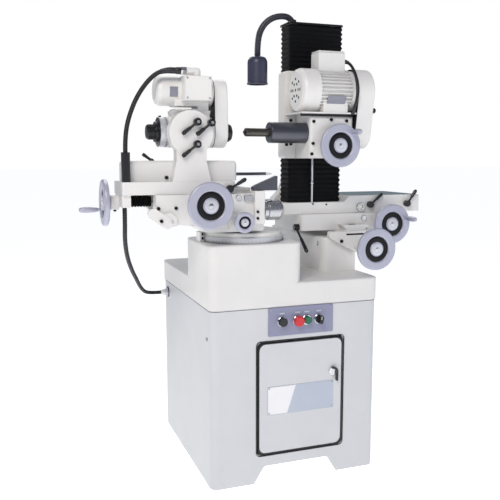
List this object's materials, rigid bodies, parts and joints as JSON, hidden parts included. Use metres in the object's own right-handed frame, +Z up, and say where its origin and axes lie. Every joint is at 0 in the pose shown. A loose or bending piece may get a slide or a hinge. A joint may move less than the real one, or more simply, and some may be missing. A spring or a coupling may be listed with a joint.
{
  "type": "tool and cutter grinding machine",
  "caption": "Floor-standing tool and cutter grinder: sheet cabinet with door, cast bed, tilting work head on a swivelling left table, belt-driven grinding head on a right column with bellows.",
  "frame": {"origin": "centre of the cabinet's footprint on the floor, the middle of the anchor holes", "axes": "+X to the operator's right, +Y to the back, +Z up"},
  "size_m": [1.273, 0.7035, 1.5883],
  "materials": {
    "ivory_paint": "smooth satin paint",
    "cabinet_paint": "satin powder coat on sheet",
    "panel_grey": "grey panel paint",
    "wheel_silver": "silver enamel",
    "bare_steel": "turned and ground",
    "chrome": "polished",
    "black_plastic": "matt moulded",
    "black_rubber": "coated fabric and rubber",
    "red_plastic": "gloss moulded",
    "green_plastic": "gloss moulded",
    "motor_grey": "sprayed over cast aluminium",
    "dark_steel": "blackened"
  },
  "bodies": {
    "base": {"cabinet": "cabinet_paint", "control_panel": "panel_grey", "machine_bed": "ivory_paint", "conduit_gland": "black_plastic", "cabinet_conduit": "black_rubber"},
    "door": {"cabinet_door": "cabinet_paint"},
    "latch": {"door_latch": "chrome"},
    "black_button": {"black_button": "black_plastic"},
    "emergency_stop": {"emergency_stop": "red_plastic"},
    "start_button": {"start_button": "green_plastic"},
    "selector": {"selector_knob": "black_plastic"},
    "swivel": {"swivel_base": "ivory_paint"},
    "left_saddle": {"left_saddle": "ivory_paint", "tooth_rest": "dark_steel"},
    "stop_dial": {"stop_dial": "bare_steel"},
    "cross_wheel": {"cross_wheel": "wheel_silver"},
    "feed_wheel": {"feed_wheel": "wheel_silver"},
    "left_table": {"left_table": "ivory_paint", "way_cover": "black_rubber", "conduit_sleeve": "black_rubber", "head_upright": "ivory_paint"},
    "end_wheel": {"end_wheel": "wheel_silver"},
    "table_lock": {"table_lock_lever": "black_plastic"},
    "head_lever_top": {"head_lever_top": "black_plastic"},
    "head_lever_right": {"head_lever_right": "black_plastic"},
    "head_lever_low": {"head_lever_low": "black_plastic"},
    "work_head": {"head_drum": "ivory_paint", "head_bearings": "bare_steel", "head_motor": "motor_grey", "head_guard": "ivory_paint", "head_belt": "black_rubber", "head_conduit": "black_rubber"},
    "work_spindle": {"work_spindle": "bare_steel", "index_dial": "bare_steel", "nose_cap": "black_plastic"},
    "head_motor_pulley": {"head_motor_pulley": "bare_steel"},
    "right_saddle": {"right_saddle": "ivory_paint"},
    "saddle_lock": {"saddle_lock_lever": "black_plastic"},
    "right_cross_wheel": {"right_cross_wheel": "wheel_silver"},
    "right_traverse_wheel": {"right_traverse_wheel": "wheel_silver"},
    "right_table": {"right_table": "ivory_paint", "column": "ivory_paint", "lift_screw": "bare_steel", "upper_bellows": "black_rubber", "lower_bellows": "black_rubber", "lamp_arm": "black_plastic", "lamp_head": "black_plastic"},
    "right_table_lever_left": {"right_table_lever_left": "black_plastic"},
    "right_table_lever_right": {"right_table_lever_right": "black_plastic"},
    "wheelhead": {"wheelhead": "ivory_paint", "quill": "dark_steel", "wheel_bearings": "bare_steel", "wheel_motor": "motor_grey", "motor_box": "motor_grey", "wheel_guard": "ivory_paint", "wheel_belt": "black_rubber", "motor_cable": "black_rubber"},
    "wheel_spindle": {"wheel_spindle": "bare_steel"},
    "wheel_motor_pulley": {"wheel_motor_pulley": "bare_steel"},
    "lift_wheel": {"lift_wheel": "wheel_silver"}
  },
  "joints": [
    {"name": "door_hinge", "type": "hinge", "parent": "base", "child": "door", "pos_m": [-0.13, -0.3215, 0.291], "axis": [0, 0, -1], "range_deg": [0, 100]},
    {"name": "latch_turn", "type": "hinge", "parent": "door", "child": "latch", "pos_m": [0.132, -0.3275, 0.363], "axis": [0, 1, 0], "range_deg": [0, 90]},
    {"name": "black_button_press", "type": "slide", "parent": "base", "child": "black_button", "axis": [0, 1, 0], "range_m": [0, 0.004], "stiffness_N_per_m": 400},
    {"name": "emergency_stop_press", "type": "slide", "parent": "base", "child": "emergency_stop", "axis": [0, 1, 0], "range_m": [0, 0.004], "stiffness_N_per_m": 400},
    {"name": "start_button_press", "type": "slide", "parent": "base", "child": "start_button", "axis": [0, 1, 0], "range_m": [0, 0.004], "stiffness_N_per_m": 400},
    {"name": "selector_turn", "type": "hinge", "parent": "base", "child": "selector", "pos_m": [0.077, -0.3275, 0.551], "axis": [0, 1, 0], "range_deg": [-45, 45]},
    {"name": "left_swivel", "type": "hinge", "parent": "base", "child": "swivel", "pos_m": [-0.145, -0.185, 0.828], "axis": [0, 0, 1], "range_deg": [-40, 15], "deforming": ["cabinet_conduit"]},
    {"name": "cross_turn", "type": "hinge", "parent": "left_saddle", "child": "cross_wheel", "pos_m": [-0.192, -0.34, 0.884], "axis": [0, 1, 0], "range_deg": [-1810, 1810]},
    {"name": "left_saddle_slide", "type": "slide", "parent": "swivel", "child": "left_saddle", "axis": [0, 1, 0], "range_m": [-0.025, 0.025]},
    {"name": "end_turn", "type": "hinge", "parent": "left_table", "child": "end_wheel", "pos_m": [-0.596, -0.2, 0.946], "axis": [1, 0, 0], "range_deg": [-5775, 2890]},
    {"name": "left_table_slide", "type": "slide", "parent": "left_saddle", "child": "left_table", "axis": [1, 0, 0], "range_m": [-0.08, 0.04], "deforming": ["way_cover"]},
    {"name": "feed_turn", "type": "hinge", "parent": "left_saddle", "child": "feed_wheel", "pos_m": [-0.307, -0.356, 0.94], "axis": [0, 1, 0], "range_deg": [-193, 97]},
    {"name": "stop_dial_turn", "type": "hinge", "parent": "left_saddle", "child": "stop_dial", "pos_m": [-0.08, -0.29, 0.917], "axis": [1, 0, 0], "range_deg": [-360, 360]},
    {"name": "table_lock_turn", "type": "hinge", "parent": "left_table", "child": "table_lock", "pos_m": [-0.224, -0.29, 0.988], "axis": [0, -1, 0], "range_deg": [-30, 30]},
    {"name": "head_lever_top_turn", "type": "hinge", "parent": "left_table", "child": "head_lever_top", "pos_m": [-0.328, -0.29, 1.195], "axis": [0, -1, 0], "range_deg": [-60, 10]},
    {"name": "head_lever_right_turn", "type": "hinge", "parent": "left_table", "child": "head_lever_right", "pos_m": [-0.283, -0.29, 1.193], "axis": [0, -1, 0], "range_deg": [-10, 60]},
    {"name": "head_lever_low_turn", "type": "hinge", "parent": "left_table", "child": "head_lever_low", "pos_m": [-0.329, -0.29, 1.127], "axis": [0, -1, 0], "range_deg": [-15, 60]},
    {"name": "head_tilt", "type": "hinge", "parent": "left_table", "child": "work_head", "pos_m": [-0.345, -0.25, 1.161], "axis": [0, -1, 0], "range_deg": [-15, 15], "deforming": ["head_conduit"]},
    {"name": "work_spindle_turn", "type": "hinge", "parent": "work_head", "child": "work_spindle", "pos_m": [-0.33, -0.2, 1.166], "axis": [1, 0, 0], "continuous": true},
    {"name": "head_motor_turn", "type": "hinge", "parent": "work_head", "child": "head_motor_pulley", "pos_m": [-0.25, -0.2, 1.294], "axis": [1, 0, 0], "continuous": true},
    {"name": "right_cross_turn", "type": "hinge", "parent": "base", "child": "right_cross_wheel", "pos_m": [0.294, -0.317, 0.775], "axis": [0, 1, 0], "range_deg": [-2170, 2170]},
    {"name": "right_saddle_slide", "type": "slide", "parent": "base", "child": "right_saddle", "axis": [0, 1, 0], "range_m": [-0.03, 0.03]},
    {"name": "saddle_lock_turn", "type": "hinge", "parent": "right_saddle", "child": "saddle_lock", "pos_m": [0.095, -0.116, 0.8374], "axis": [-1, 0, 0], "range_deg": [-25, 25]},
    {"name": "right_traverse_turn", "type": "hinge", "parent": "right_saddle", "child": "right_traverse_wheel", "pos_m": [0.445, -0.166, 0.843], "axis": [0, 1, 0], "range_deg": [-87, 230]},
    {"name": "right_table_slide", "type": "slide", "parent": "right_saddle", "child": "right_table", "axis": [1, 0, 0], "range_m": [-0.03, 0.08]},
    {"name": "right_table_lever_left_turn", "type": "hinge", "parent": "right_table", "child": "right_table_lever_left", "pos_m": [0.38, -0.12, 0.913], "axis": [0, -1, 0], "range_deg": [-25, 25]},
    {"name": "right_table_lever_right_turn", "type": "hinge", "parent": "right_table", "child": "right_table_lever_right", "pos_m": [0.538, -0.12, 0.913], "axis": [0, -1, 0], "range_deg": [-25, 25]},
    {"name": "lift_turn", "type": "hinge", "parent": "wheelhead", "child": "lift_wheel", "pos_m": [0.178, -0.262, 1.126], "axis": [0, 1, 0], "range_deg": [-4335, 6500]},
    {"name": "wheelhead_lift", "type": "slide", "parent": "right_table", "child": "wheelhead", "axis": [0, 0, 1], "range_m": [-0.06, 0.09], "deforming": ["upper_bellows", "lower_bellows"]},
    {"name": "wheel_spindle_turn", "type": "hinge", "parent": "wheelhead", "child": "wheel_spindle", "pos_m": [0.1, -0.195, 1.169], "axis": [1, 0, 0], "continuous": true},
    {"name": "wheel_motor_turn", "type": "hinge", "parent": "wheelhead", "child": "wheel_motor_pulley", "pos_m": [0.278, -0.195, 1.311], "axis": [1, 0, 0], "continuous": true}
  ],
  "couplings": [
    {"joint": "cross_turn", "follows": "left_saddle_slide", "rad_per_m": 1256.6},
    {"joint": "end_turn", "follows": "left_table_slide", "rad_per_m": 1256.6},
    {"joint": "feed_turn", "follows": "left_table_slide", "rad_per_m": 41.667},
    {"joint": "head_motor_turn", "follows": "work_spindle_turn", "ratio": 1.3636},
    {"joint": "right_cross_turn", "follows": "right_saddle_slide", "rad_per_m": 1256.6},
    {"joint": "right_traverse_turn", "follows": "right_table_slide", "rad_per_m": 50},
    {"joint": "lift_turn", "follows": "wheelhead_lift", "rad_per_m": 1256.6},
    {"joint": "wheel_motor_turn", "follows": "wheel_spindle_turn", "ratio": 0.58621}
  ]
}
